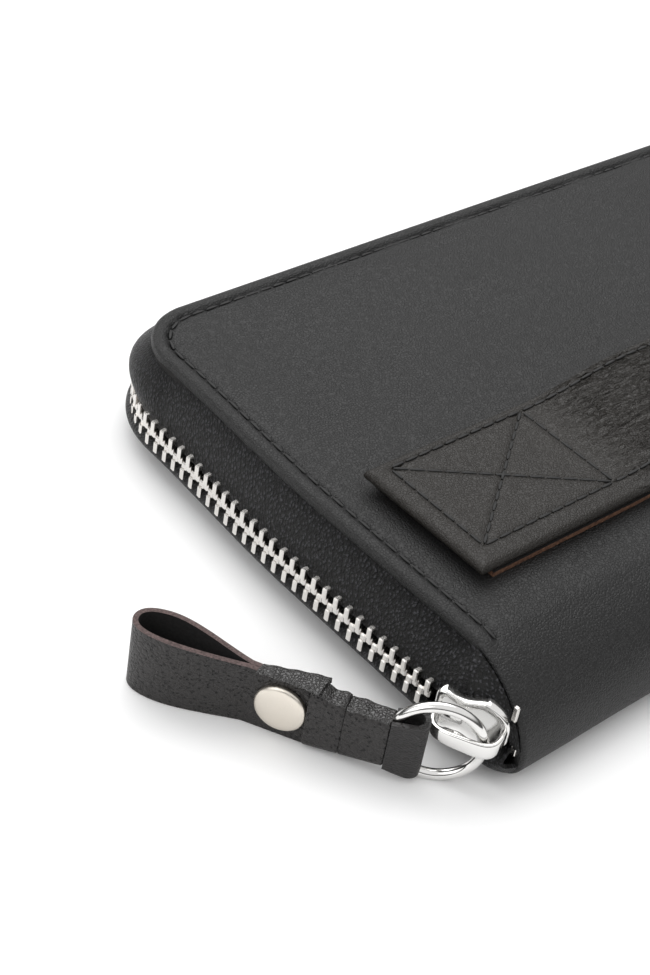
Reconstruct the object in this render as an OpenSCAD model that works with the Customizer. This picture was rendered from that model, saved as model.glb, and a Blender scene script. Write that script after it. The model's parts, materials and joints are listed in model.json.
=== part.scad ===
// Long zip-around wallet lying on its back cover: leather covers around a soft
// spine, an accordion interior with a zipped coin pocket, a metal zip with a
// leather pull tab, and a leather hand strap on the front.
// +Z is up, +X runs along the spine, the spine is at -Y and the long zip side
// at +Y. The origin is on the resting face, midway between the two ends.

/* [Body] */
// Length between the zip chains on the two short sides
wallet_l = 200; // [196:2:230]
// Spine's outermost line to the chain of the long side
wallet_w = 107.5; // [104:0.5:116]
// Height of the closed body over its leather covers
wallet_h = 19; // [19:0.5:21]
// How far the leather edge lies inside the chain
edge_inset = 4; // [3:0.5:5]
// Outside corner radius of the leather covers
cover_r = 12; // [10:1:16]
// Leather thickness of the covers and the spine
leather_t = 1.2; // [1:0.1:1.4]
// Radius of the soft roll between the front cover and the spine
roll_r = 14.2; // [13.5:0.1:14.2]

/* [Interior] */
// Thickness of the stiffening boards
board_t = 0.8; // [0.5:0.1:0.8]
// Thickness of the linings
lining_t = 0.6; // [0.4:0.1:0.6]
// Card slots on each inside cover
slot_count = 4; // [2:1:4]
// Thickness of one slot leaf with its card room
slot_t = 0.6; // [0.4:0.1:0.6]
// Height that each card slot shows above the next one
slot_step = 12; // [9:1:13]
// Length of the interior pieces
inner_l = 181; // [170:1:181]

/* [Main zip] */
// Distance from one tooth to the next on one tape
pitch = 2.6; // [2.6:0.1:3]
// Thickness of the teeth across the tape
tooth_t = 2.2; // [2:0.1:2.2]
// Height of the chain's middle above the resting face
chain_z = 8; // [8:0.5:9]
// Thickness of the woven zip tape
tape_t = 0.7; // [0.5:0.1:0.9]

/* [Main slider] */
// Length of the slider along the chain
slider_l = 11.8; // [11.8:0.1:12.4]
// Turn of the parked slider into the wallet
slider_yaw = 26; // [24:1:28]
// Distance from the slider's plate to the inside of its bail
bail_gap = 4; // [3.9:0.1:4]
// Ring's wire thickness
wire_d = 1.7; // [1.5:0.1:1.7]
// Radius of the ring to the middle of its wire
ring_r = 6.75; // [6.75:0.05:7]

/* [Pull tab] */
// Length of the wrapped neck past the ring's wire
neck_l = 12.3; // [12:0.1:14]
// Length of the teardrop finger loop
loop_l = 21; // [19:0.5:24]
// Width of the teardrop over its leather
loop_w = 6.8; // [6:0.1:9]
// Leather thickness of the tab
tab_t = 1.1; // [1:0.1:1.2]
// Height of the finger loop's leather
tab_h = 12.4; // [12:0.1:13]

/* [Hand strap] */
// Length of the hand strap
strap_l = 175; // [160:1:177]
// Width of the hand strap
strap_w = 27; // [25:0.5:28]
// Thickness of each of the strap's two plies
strap_t = 1.7; // [1.4:0.1:1.8]
// Rise of the strap's loose middle
strap_rise = 2.4; // [1.5:0.1:3]

/* [Hidden] */
$fn = 48;
gap = 0.3;
spine_y = -54;
chain_y = spine_y + wallet_w;
end_x = wallet_l / 2;
cover_x = end_x - edge_inset;
cover_y = chain_y - edge_inset;
// The covers meet the spine on the line that both covers hinge about.
hinge_z = wallet_h - roll_r;
roll_y = spine_y + roll_r;
fold_y = spine_y + hinge_z;
stitch_y0 = roll_y + 0.6;
inner_x = inner_l / 2;
// Layers, counted up from the resting face.
back_board_z = leather_t;
back_lining_z = back_board_z + board_t;
back_slot_z = back_lining_z + lining_t;
coin_back_z = 7;
coin_panel_t = 0.8;
coin_front_z = 11.3;
front_cover_z = wallet_h - leather_t;
front_board_z = front_cover_z - board_t;
front_lining_z = front_board_z - lining_t;
slot_room = slot_count * slot_t + gap / 3;
panel_y0 = spine_y + 10;
panel_y1 = chain_y - 11;
slot_y0 = panel_y0 + 4;
slot_y1 = 34;
// Stitching: a groove inside the leather edge holds the thread.
stitch_in = 3.2;
stitch_pitch = 3.1;
stitch_len = 2.3;
stitch_w = 0.6;
groove_w = 1;
groove_d = 0.45;
// Zip: each tooth is half a chain high, plus the stretch where both rows mesh.
tooth_h = 3.4;
tooth_w = 0.95;
mesh_z = 0.4;
bead_z = 1.6;
tape_edge = 0.25;
// Chain path: the straight end at the slider, both corners and both long runs.
chain_r = cover_r + edge_inset - 2;
run_y0 = spine_y + 14.5;
tape_y0 = spine_y + 16.4;
run_y1 = chain_y - chain_r;
run_teeth = floor((run_y1 - run_y0) / pitch);
side_teeth = floor((wallet_l - 2 * chain_r) / pitch);
corner_teeth = floor(chain_r * PI / 2 / pitch);
// Slider: its middle while parked at the spine end, and its own sizes.
slider_pos = [-end_x + 2.2, spine_y + 9.74, chain_z + 0.8];
plate_t = 0.85;
channel_t = 3.2;
pin_room = 1.9;
slider_t = 2 * plate_t + channel_t;
stop_h = 3.2;
stop_w = 1.4;
stop_t = 1.1;
shoulder_h = 9.4;
nose_h = 7.2;
bail_t = 0.95;
bail_h = 2.6;
// Ring: it stands on its edge, from inside the bail to the tab's fold.
ring_head = 133;
ring_z = ring_r + wire_d / 2 + 0.05;
ring_in = bail_gap - wire_d / 2 - 0.42 + slider_t / 2;
ring_back = 3.2;
ring_near = [slider_pos[0] - ring_in * cos(slider_yaw) + ring_back * sin(slider_yaw),
    slider_pos[1] - ring_in * sin(slider_yaw) - ring_back * cos(slider_yaw)];
ring_mid = ring_near + ring_r * [cos(ring_head), sin(ring_head)];
ring_far = ring_near + 2 * ring_r * [cos(ring_head), sin(ring_head)];
// Tab: a fold round the ring's wire, the wrapped neck, then the finger loop.
tab_head = 119;
fold_out = 2.1;
fold_in = 1.05;
fold_reach = 2.55;
fold_end = 1.6;
fold_z = [2.9, 11];
neck_z = [0.4, 11.4];
neck_t = 2 * tab_t + 1.7;
rivet_r = 3.85;
rivet_t = 0.9;
rivet_at = neck_l + 4.1;
plies_l = 8.2;
// Hand strap on the front cover.
strap_y = -18.2;
strap_x = strap_l / 2;
box_l = 29.4;
box_w = 21.3;
seam_in = 3.5;
strap_flat = box_l + 6;
strap_z = wallet_h;
ramp_l = 24;
ramp_steps = 6;
// Coin pocket zip.
coin_chain_y = panel_y1 + 0.6;
coin_pitch = 2.4;
coin_z = (coin_back_z + coin_front_z + coin_panel_t) / 2;
coin_tape_w = 9;
coin_tape_t = 0.4;
coin_half = inner_x - 8;
coin_teeth_n = floor(2 * (coin_half - 8) / coin_pitch);

ink = [0.13, 0.13, 0.13];
ink_soft = [0.19, 0.185, 0.18];
nickel = [0.82, 0.82, 0.82];
thread_c = [0.04, 0.04, 0.04];

// A sheet with the covers' outline: square at the spine, round at the zip.
module sheet(half_x, y0, y1, r, t) {
    linear_extrude(t) {
        translate([-half_x, y0]) square([2 * half_x, y1 - r - y0]);
        translate([-half_x + r, y0]) square([2 * (half_x - r), y1 - y0]);
        for (s = [-1, 1]) translate([s * (half_x - r), y1 - r]) circle(r);
    }
}

// The closed U between two such outlines, open at the spine end.
module sheet_rim(half_x, y0, y1, r, w, t) {
    difference() {
        sheet(half_x, y0, y1, r, t);
        translate([0, 0, -1]) sheet(half_x - w, y0 - 1, y1 - w, r - w, t + 2);
    }
}

// One cover from the line y0 where the spine begins, grooved for its thread.
module cover(y0) {
    out = groove_w / 2 - stitch_in;
    difference() {
        sheet(cover_x, y0, cover_y, cover_r, leather_t);
        translate([0, 0, leather_t - groove_d])
            sheet_rim(cover_x + out, stitch_y0, cover_y + out, cover_r + out, groove_w, groove_d + 1);
    }
}

module front_cover() { color(ink) translate([0, 0, front_cover_z]) cover(roll_y); }

module back_cover() { color(ink) translate([0, 0, leather_t]) mirror([0, 0, 1]) cover(fold_y); }

// A quarter tube along X between the angles a0 and a0 + 90 seen from +X.
module spine_quarter(y, z, r, a0) {
    translate([-cover_x, y, z]) rotate([90, 0, 90])
        linear_extrude(2 * cover_x) difference() {
            intersection() {
                circle(r);
                rotate(a0) square(r);
            }
            circle(r - leather_t);
        }
}

module spine_front() { color(ink) spine_quarter(roll_y, hinge_z + gap / 2, roll_r - gap / 2, 90); }

module spine_back() { color(ink) spine_quarter(fold_y, hinge_z - gap / 2, hinge_z - gap / 2, 180); }

module back_board() {
    color("dimgray") translate([0, 0, back_board_z])
        sheet(cover_x - 2, panel_y0, cover_y - 2, cover_r - 2, board_t);
}

module front_board() {
    color("dimgray") translate([0, 0, front_board_z])
        sheet(cover_x - 2, roll_y, cover_y - 2, cover_r - 2, board_t);
}

module back_lining() {
    color(ink_soft) translate([0, 0, back_lining_z])
        sheet(cover_x - 2, panel_y0, cover_y - 2, cover_r - 2, lining_t);
}

module front_lining() {
    color(ink_soft) translate([0, 0, front_lining_z])
        sheet(cover_x - 2, roll_y, cover_y - 2, cover_r - 2, lining_t);
}

// Card slot i of one cover: the leaves get shorter towards the reader.
module slot_leaf(i) {
    translate([-inner_x, slot_y0, 0])
        cube([inner_l, slot_y1 - slot_y0 - (i - 1) * slot_step, slot_t]);
}

module back_card_slot(i) {
    color(ink_soft) translate([0, 0, back_slot_z + (i - 1) * slot_t]) slot_leaf(i);
}

module front_card_slot(i) {
    color(ink_soft) translate([0, 0, front_lining_z - i * slot_t]) slot_leaf(i);
}

module coin_panel(z) {
    color(ink_soft) translate([-inner_x, panel_y0, z])
        cube([inner_l, panel_y1 - panel_y0, coin_panel_t]);
}

module coin_panel_back() { coin_panel(coin_back_z); }

module coin_panel_front() { coin_panel(coin_front_z); }

module coin_tape(z) {
    color(thread_c) translate([-coin_half, coin_chain_y - coin_tape_w, z])
        cube([2 * coin_half, coin_tape_w, coin_tape_t]);
}

module coin_tape_back() { coin_tape(coin_back_z + coin_panel_t); }

module coin_tape_front() { coin_tape(coin_front_z - coin_tape_t); }

// Two rows of small teeth that mesh along the top of the coin pocket.
module coin_teeth() {
    low = coin_back_z + coin_panel_t + coin_tape_t;
    high = coin_front_z - coin_tape_t;
    reach = (high - low) / 2 + 0.25;
    color(nickel) for (i = [0:coin_teeth_n - 1]) {
        x = -coin_half + 10 + i * coin_pitch;
        translate([x, coin_chain_y - 1.6, low]) cube([0.8, 1.6, reach]);
        translate([x + coin_pitch / 2, coin_chain_y - 1.6, high - reach]) cube([0.8, 1.6, reach]);
    }
}

coin_slider_in = 4.4;
coin_slider_l = 7.2;
coin_plate_t = 0.8;
coin_lug_t = 2;
coin_pin_y = coin_chain_y + 2.2;
coin_pin_r = 0.6;
coin_pull_l = 10;
coin_pull_h = 4;

module coin_slider() {
    half_l = coin_slider_l / 2;
    inner_y = coin_chain_y - 3;
    outer_y = coin_chain_y + 0.5;
    lug_y = outer_y + coin_plate_t - 0.1;
    color(nickel) translate([-coin_half + coin_slider_in, 0, coin_z]) {
        translate([-half_l, inner_y, -1.2]) cube([coin_slider_l, coin_plate_t, 2.4]);
        translate([-half_l, outer_y, -2]) cube([coin_slider_l, coin_plate_t, 4]);
        translate([0.4 - half_l, inner_y + coin_plate_t - 0.1, -0.5]) cube([1, 2.9, 1]);
        difference() {
            translate([-2, lug_y, -coin_lug_t / 2]) cube([4, 2.6, coin_lug_t]);
            translate([0, coin_pin_y, -coin_lug_t]) cylinder(r = coin_pin_r + 0.1, h = 2 * coin_lug_t);
        }
    }
}

// The small pull hangs on a pin through the coin slider's lug.
module coin_pull() {
    half_t = 0.7;
    side_z = coin_lug_t / 2 + 0.2;
    color(nickel) translate([-coin_half + coin_slider_in, coin_pin_y, coin_z]) {
        translate([0, 0, -side_z - 0.1]) cylinder(r = coin_pin_r, h = 2 * side_z + 0.2);
        for (z = [-coin_pull_h / 2, side_z]) translate([-half_t, -half_t, z])
            cube([6, 2 * half_t, coin_pull_h / 2 - side_z]);
        translate([3.9, -half_t, -coin_pull_h / 2]) cube([coin_pull_l, 2 * half_t, coin_pull_h]);
    }
}

// A folded leather gusset between two layers, as a thin V pointing inwards.
module gusset(side, z0, z1) {
    edge = end_x - 7.5;
    deep = 9;
    t = 0.3;
    mid = (z0 + z1) / 2;
    nick = 2 * deep * t / (z1 - z0);
    color(ink_soft) translate([0, panel_y1 - 6, 0]) rotate([90, 0, 0])
        linear_extrude(panel_y1 - panel_y0 - 16) polygon([
            [side * edge, z0], [side * (edge - deep), mid],
            [side * edge, z1], [side * edge, z1 - t],
            [side * (edge - deep + nick), mid], [side * edge, z0 + t]]);
}

module gusset_back_left() { gusset(-1, back_slot_z + slot_room, coin_back_z - gap / 3); }

module gusset_back_right() { gusset(1, back_slot_z + slot_room, coin_back_z - gap / 3); }

module gusset_front_left() { gusset(-1, coin_front_z + coin_panel_t + gap / 3, front_lining_z - slot_room); }

module gusset_front_right() { gusset(1, coin_front_z + coin_panel_t + gap / 3, front_lining_z - slot_room); }

// A thin slice of the wallet's outline, a given distance inside the chain.
module outline_slice(z, inset) {
    r = chain_r - inset;
    translate([0, 0, z]) linear_extrude(0.02) hull() {
        for (s = [-1, 1]) translate([s * (end_x - inset - r), chain_y - inset - r])
            circle(r, $fn = 32);
        translate([-end_x + inset, tape_y0]) square([2 * (end_x - inset), 1]);
    }
}

// The leaning wall of woven tape between a cover and one row of teeth.
module tape_wall(z0, in0, z1, in1) {
    color(thread_c) difference() {
        hull() {
            outline_slice(z0, in0);
            outline_slice(z1, in1);
        }
        hull() {
            translate([0, -1, 0]) outline_slice(z0 - 0.05, in0 + tape_t);
            translate([0, -1, 0]) outline_slice(z1 + 0.05, in1 + tape_t);
        }
    }
}

module tape_front_wall() {
    tape_wall(chain_z + bead_z + tape_edge, tape_edge, front_cover_z - 0.05, edge_inset - 0.6);
}

module tape_back_wall() {
    tape_wall(leather_t + 0.05, edge_inset - 1.5, chain_z - bead_z - tape_edge, tape_edge);
}

// The straight stretch at the slider is its own node: the slider parts it.
module run_zone() {
    translate([-end_x - 5, run_y0 - 5, -5]) cube([20, run_y1 - run_y0 + 5 - gap / 2, 40]);
}

module rest_zone() {
    difference() {
        translate([-end_x - 10, run_y0 - 10, -5]) cube([2 * end_x + 20, wallet_w + 20, 40]);
        translate([-end_x - 5, run_y0 - 11, -6]) cube([20, run_y1 - run_y0 + 11 + gap / 2, 42]);
    }
}

// The tape's end, sewn over the spine's end: the part above or below the chain.
module tape_tail(s, up) {
    clear = 5.6;
    t = 0.6;
    y = up > 0 ? roll_y : fold_y;
    z = up > 0 ? hinge_z : hinge_z - gap / 2;
    r = (up > 0 ? roll_r : z) - gap;
    color(thread_c) translate([s > 0 ? cover_x : -cover_x - t, 0, 0]) rotate([90, 0, 90])
        linear_extrude(t) intersection() {
            translate([y, z]) circle(r);
            if (up > 0) translate([y - r, chain_z + clear]) square([r, r]);
            else translate([y - r, 0]) square([r, chain_z - clear]);
        }
}

module zip_tape_front() {
    intersection() { tape_front_wall(); rest_zone(); }
    tape_tail(1, 1);
}

module zip_tape_back() {
    intersection() { tape_back_wall(); rest_zone(); }
    tape_tail(1, -1);
}

module zip_tape_front_run() {
    intersection() { tape_front_wall(); run_zone(); }
    tape_tail(-1, 1);
}

module zip_tape_back_run() {
    intersection() { tape_back_wall(); run_zone(); }
    tape_tail(-1, -1);
}

// One tooth, clear of the tape's edge; up = 1 stands on the front cover's tape.
module tooth(up) {
    z = up > 0 ? chain_z - mesh_z : chain_z + mesh_z - tooth_h;
    bead = up > 0 ? chain_z + bead_z : chain_z - bead_z - tooth_h;
    difference() {
        translate([-tooth_t / 2, -tooth_w / 2, z]) cube([tooth_t, tooth_w, tooth_h]);
        translate([-0.1, -tooth_w, bead]) cube([tooth_t, 2 * tooth_w, tooth_h]);
    }
}

module teeth_run(up) {
    color(nickel) for (i = [0:run_teeth - 1])
        translate([-end_x, run_y1 - 0.8 - (i + (up > 0 ? 0 : 0.5)) * pitch, 0]) tooth(up);
}

// Round the first corner, along the long side, round the second and back.
module teeth_rest(up) {
    step = up > 0 ? 0 : 0.5;
    turn = 90 / corner_teeth;
    color(nickel) {
        for (s = [-1, 1]) for (i = [0:corner_teeth - 1])
            translate([s * (end_x - chain_r), run_y1, 0])
                rotate(s < 0 ? -(i + 0.25 + step) * turn : 180 + (i + 0.25 + step) * turn)
                    translate([-chain_r, 0, 0]) tooth(up);
        for (i = [0:side_teeth - 1])
            translate([-end_x + chain_r + 0.9 + (i + step) * pitch, chain_y, 0])
                rotate(-90) tooth(up);
        for (i = [0:run_teeth - 1])
            translate([end_x, run_y1 - 0.8 - (i + step) * pitch, 0]) rotate(180) tooth(up);
    }
}

module zip_teeth_front() { teeth_rest(1); }

module zip_teeth_back() { teeth_rest(-1); }

module zip_teeth_front_run() { teeth_run(1); }

module zip_teeth_back_run() { teeth_run(-1); }

// Crimped metal stops: at the parked slider and at the far end of each tape.
module zip_stop(up) {
    near_z = up > 0 ? hinge_z + 7.95 : 0.5;
    end_z = up > 0 ? chain_z + 0.2 : chain_z - 0.2 - stop_h;
    color(nickel) {
        translate([-cover_x - 0.65 - stop_t, spine_y + (up > 0 ? 3.4 : 2.6), near_z])
            cube([stop_t, stop_w, up > 0 ? stop_h : 1.6]);
        translate([end_x - stop_w / 2, run_y0 - 3, end_z]) cube([stop_w, stop_w, stop_h]);
    }
}

module zip_stop_front() { zip_stop(1); }

module zip_stop_back() { zip_stop(-1); }

// The slider's own frame: nose to +Y, plates facing -X and +X.
module at_slider() { translate(slider_pos) rotate(slider_yaw) children(); }

module slider_outline() {
    nose_y = slider_l / 2;
    round_r = 1.4;
    hull() for (s = [-1, 1]) {
        translate([s * (nose_h / 2 - round_r), nose_y - round_r]) circle(round_r, $fn = 32);
        translate([s * (shoulder_h / 2 - round_r), -0.5]) circle(round_r, $fn = 32);
        translate([s * 1.6, -nose_y + 2]) circle(2, $fn = 32);
    }
}

module slider_plate(x) {
    translate([x, 0, 0]) rotate([90, 0, 90]) linear_extrude(plate_t) rotate(90)
        mirror([1, 0]) slider_outline();
}

module slider_body() {
    color(nickel) at_slider() {
        slider_plate(channel_t / 2);
        difference() {
            slider_plate(-slider_t / 2);
            translate([-slider_t, -pin_room, -0.6]) cube([slider_t, 2 * pin_room, 1.2]);
        }
        translate([-channel_t / 2, -slider_l / 2 + 1.2, -0.9]) cube([channel_t, 2.4, 1.8]);
    }
}

// The bail arches lengthways over the outer plate; the ring hangs in it.
module slider_bail() {
    nose_y = slider_l / 2 - 0.7;
    out = bail_gap + bail_t;
    color(nickel) at_slider() translate([-slider_t / 2, 0, -bail_h / 2]) linear_extrude(bail_h)
        difference() {
            hull() {
                translate([-0.01, -nose_y - 0.6]) square([0.01, 2 * nose_y + 0.6]);
                translate([-out + 1.6, nose_y - 2.4]) circle(1.6, $fn = 32);
                translate([-out + 1.6, -nose_y + 1]) circle(1.6, $fn = 32);
            }
            hull() {
                translate([-0.01, -nose_y + 0.5]) square([1, 2 * nose_y - 1.6]);
                translate([-bail_gap + 0.7, nose_y - 2.9]) circle(0.7, $fn = 32);
                translate([-bail_gap + 0.7, -nose_y + 1.2]) circle(0.7, $fn = 32);
            }
        }
}

// The lock pin reaches through a slot in the outer plate into the chain.
module slider_lock_pin() {
    color(nickel) at_slider() translate([-slider_t / 2 - 0.5, 0, 0]) rotate([0, 90, 0])
        cylinder(r = 0.4, h = slider_t / 2 + 0.8);
}

module pull_ring() {
    color(nickel) translate([ring_mid[0], ring_mid[1], ring_z]) rotate([90, 0, ring_head])
        rotate_extrude() translate([ring_r, 0]) circle(d = wire_d, $fn = 24);
}

// The tab's own frame: origin on the ring's far wire, +X away from the ring.
module at_tab() { translate([ring_far[0], ring_far[1], 0]) rotate(tab_head) children(); }

// The stretch of a plan shape between two side edges, given as [bottom, top].
module tab_slab(x0, z0, x1, z1) {
    intersection() {
        linear_extrude(tab_h + 1) children();
        translate([0, 10, 0]) rotate([90, 0, 0]) linear_extrude(20)
            polygon([[x0, z0[0]], [x1, z1[0]], [x1, z1[1]], [x0, z0[1]]]);
    }
}

// Both ends of the flat loop that the ring's wire takes inside the leather.
module round_wire(r) {
    for (reach = [0, fold_reach]) rotate(ring_head - tab_head) translate([-reach, 0])
        circle(r, $fn = 32);
}

module pull_tab_fold() {
    color(ink_soft) at_tab() tab_slab(-6, fold_z, fold_end, fold_z) difference() {
        hull() {
            round_wire(fold_out);
            translate([fold_end - 1, -neck_t / 2]) square([1, neck_t]);
        }
        hull() round_wire(fold_in);
    }
}

module pull_tab_neck() {
    x0 = fold_end + gap / 3;
    color(ink_soft) at_tab() tab_slab(x0, fold_z, neck_l, neck_z)
        translate([x0, -neck_t / 2]) square([neck_l - x0, neck_t]);
}

// Half width of the teardrop at the share u of its length.
function tear(u) = loop_w / 2 * pow(sin(180 * pow(u, 1.35)), 0.75);

module tear_shape() {
    steps = 18;
    side = [for (i = [0:steps]) let (u = 0.5 - 0.5 * cos(180 * i / steps))
        [neck_l + plies_l + loop_l * u, tear(u)]];
    polygon(concat(side, [for (i = [steps - 1:-1:1]) [side[i][0], -side[i][1]]]));
}

// Two plies under the rivet, then the strip swells and turns back on itself.
module pull_tab_loop() {
    x0 = neck_l + gap / 3;
    color(ink_soft) at_tab() linear_extrude(tab_h) difference() {
        union() {
            translate([x0, -tab_t]) square([plies_l + loop_l / 5, 2 * tab_t]);
            tear_shape();
        }
        offset(delta = -tab_t) tear_shape();
    }
}

module rivet(side) {
    color(nickel) at_tab() translate([rivet_at, side * tab_t, tab_h / 2]) rotate([-90 * side, 0, 0])
        cylinder(r = side > 0 ? rivet_r : rivet_r - 0.6, h = rivet_t);
}

module rivet_cap() { rivet(1); }

module rivet_back() { rivet(-1); }

// Rise of the strap at the distance d past its flat sewn end, by an S curve.
function rise(d) = strap_rise * (1 - cos(180 * min(1, max(0, d / ramp_l)))) / 2;
function strap_side() = [for (i = [0:ramp_steps])
    [-strap_x + strap_flat + i * ramp_l / ramp_steps, rise(i * ramp_l / ramp_steps)]];
module strap_ply(z, end, w) {
    left = concat([[-strap_x + end, 0]], strap_side());
    low = concat(left, [for (i = [len(left) - 1:-1:0]) [-left[i][0], left[i][1]]]);
    high = [for (i = [len(low) - 1:-1:0]) [low[i][0], low[i][1] + strap_t]];
    translate([0, strap_y + w / 2, z]) rotate([90, 0, 0]) linear_extrude(w)
        polygon(concat(low, high));
}

module strap_base() { color([0.3, 0.22, 0.18]) strap_ply(strap_z, 0, strap_w); }

module strap_top() { color(ink_soft) strap_ply(strap_z + strap_t, 0.4, strap_w - 0.8); }

// Thread along a straight seam from a to b on a level face.
module seam(a, b, z, spacing) {
    run = b - a;
    count = max(1, round(norm(run) / spacing));
    for (i = [0:count - 1]) translate([a[0] + run[0] * (i + 0.5) / count,
        a[1] + run[1] * (i + 0.5) / count, z])
        rotate(atan2(run[1], run[0])) translate([-stitch_len / 2, -stitch_w / 2, 0])
            cube([stitch_len, stitch_w, 0.3]);
}

// A sewn box with both diagonals at each end of the strap.
module strap_stitching() {
    z = strap_z + 2 * strap_t;
    spacing = 3;
    seam_y = strap_y + 0.95;
    color(thread_c) for (s = [-1, 1]) {
        x0 = s * (strap_x - seam_in);
        x1 = s * (strap_x - seam_in - box_l);
        y0 = seam_y - box_w / 2;
        y1 = seam_y + box_w / 2;
        seam([x0, y0], [x1, y0], z, spacing);
        seam([x0, y1], [x1, y1], z, spacing);
        for (x = [x0, x1]) seam([x, y0 + 0.8], [x, y1 - 0.8], z, spacing);
        for (k = [-1, 1]) {
            mid = [(x0 + x1) / 2, seam_y];
            seam([x0 - s * 1.5, seam_y + k * (box_w / 2 - 1.3)], mid + [s * 0.7, k * 0.5], z, spacing);
            seam([x1 + s * 1.5, seam_y + k * (box_w / 2 - 1.3)], mid - [s * 0.7, k * -0.5], z, spacing);
        }
    }
}

// Thread that follows the covers' edge in its groove.
module edge_stitching(y0) {
    r = cover_r - stitch_in;
    x = cover_x - stitch_in;
    y = cover_y - stitch_in;
    turns = 4;
    for (s = [-1, 1]) {
        seam([s * x, y0], [s * x, y - r], 0, stitch_pitch);
        for (i = [0:turns - 1]) translate([s * (x - r), y - r, 0])
            rotate(s > 0 ? (i + 0.5) * 90 / turns : 180 - (i + 0.5) * 90 / turns)
                translate([r - stitch_w / 2, -stitch_len / 2, 0]) cube([stitch_w, stitch_len, 0.3]);
    }
    seam([-x + r, y], [x - r, y], 0, stitch_pitch);
}

module edge_stitching_back() {
    color(thread_c) translate([0, 0, groove_d - 0.3]) edge_stitching(stitch_y0 + 1);
}

module edge_stitching_front() {
    color(thread_c) translate([0, 0, wallet_h - groove_d]) edge_stitching(stitch_y0 + 1);
}

back_cover();
front_cover();
spine_back();
spine_front();
back_board();
front_board();
back_lining();
front_lining();
for (i = [1:slot_count]) {
    back_card_slot(i);
    front_card_slot(i);
}
coin_panel_back();
coin_panel_front();
coin_tape_back();
coin_tape_front();
coin_teeth();
coin_slider();
coin_pull();
gusset_back_left();
gusset_back_right();
gusset_front_left();
gusset_front_right();
zip_tape_back();
zip_tape_front();
zip_tape_back_run();
zip_tape_front_run();
zip_teeth_back();
zip_teeth_front();
zip_teeth_back_run();
zip_teeth_front_run();
zip_stop_back();
zip_stop_front();
slider_body();
slider_bail();
slider_lock_pin();
pull_ring();
pull_tab_fold();
pull_tab_neck();
pull_tab_loop();
rivet_cap();
rivet_back();
strap_top();
strap_base();
strap_stitching();
edge_stitching_back();
edge_stitching_front();
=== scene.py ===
# %% [markdown]
# # A long zip-around wallet, dressed around its CAD frame
# The wallet lies on its back cover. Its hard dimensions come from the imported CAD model, which is
# loaded first and never moved. Every soft or shiny piece is then worked out as a surface in
# millimetres: a grid of points from a formula, or a profile carried along a path.
# X runs along the spine, Y from the spine to the long zip side, and Z up.

# %% Load the frame
import json

import bmesh
import bpy
import numpy as np
from mathutils import Matrix, Vector


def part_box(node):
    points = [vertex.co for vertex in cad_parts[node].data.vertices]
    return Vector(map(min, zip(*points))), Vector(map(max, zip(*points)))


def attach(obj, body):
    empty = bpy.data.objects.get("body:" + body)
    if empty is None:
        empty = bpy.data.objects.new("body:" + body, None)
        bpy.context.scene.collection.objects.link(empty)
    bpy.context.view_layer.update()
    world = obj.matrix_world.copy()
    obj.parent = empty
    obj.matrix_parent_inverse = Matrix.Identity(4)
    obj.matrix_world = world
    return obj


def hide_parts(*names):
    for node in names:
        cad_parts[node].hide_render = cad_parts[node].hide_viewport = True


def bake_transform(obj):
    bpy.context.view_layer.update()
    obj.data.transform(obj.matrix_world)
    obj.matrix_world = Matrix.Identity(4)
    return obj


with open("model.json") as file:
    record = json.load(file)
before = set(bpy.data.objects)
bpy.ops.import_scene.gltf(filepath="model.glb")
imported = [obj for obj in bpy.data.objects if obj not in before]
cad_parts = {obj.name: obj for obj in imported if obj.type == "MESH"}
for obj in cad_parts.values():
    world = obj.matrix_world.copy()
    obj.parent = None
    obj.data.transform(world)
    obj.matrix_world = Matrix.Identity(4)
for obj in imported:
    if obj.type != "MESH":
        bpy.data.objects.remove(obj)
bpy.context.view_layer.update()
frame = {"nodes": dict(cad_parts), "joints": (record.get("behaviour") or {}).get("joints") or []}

# %% Sizes that the pieces share, in mm
MM = 0.001


def box_mm(node):
    """Lowest and highest corner of a CAD node, in mm."""
    low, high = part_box(node)
    return np.array(low) / MM, np.array(high) / MM


front_low, front_high = box_mm("front_cover")
COVER_X, COVER_Y, TOP_Z = front_high
HINGE_Z = box_mm("spine_front")[0][2] - 0.15
COVER_R = 12.0
END_X = COVER_X + 4
CHAIN_R = 22.0
CHAIN_Z = 8.0
RUN_Y0, RUN_Y1 = -37.6, 31.5

# %% [markdown]
# ## Helpers for surfaces
# A grid of points needs faces between its neighbours. `slab` gives a grid a wall: it finds the
# normals from the grid itself and puts one skin half a thickness out and one half a thickness in,
# so folded leather, tape, the strap's plies and the gussets all come from one middle surface.


# %% From grids to meshes
def grid_faces(rows, cols, wrap_rows=False, wrap_cols=False):
    """Quads (r,c) (r+1,c) (r+1,c+1) (r,c+1); a wrapped way also joins the last line to the first."""
    r = np.arange(rows if wrap_rows else rows - 1)
    c = np.arange(cols if wrap_cols else cols - 1)
    r, c = np.meshgrid(r, c, indexing="ij")
    r2, c2 = (r + 1) % rows, (c + 1) % cols
    return np.stack([r * cols + c, r2 * cols + c, r2 * cols + c2, r * cols + c2], -1).reshape(-1, 4)


def tube_faces(rows, cols, closed=False):
    """Faces of a ring of points carried along a path, with a flat cap at each end of an open path."""
    faces = grid_faces(rows, cols, wrap_rows=closed, wrap_cols=True).tolist()
    if not closed:
        faces.append(list(range(cols)))
        faces.append([(rows - 1) * cols + i for i in range(cols)])
    return faces


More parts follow.
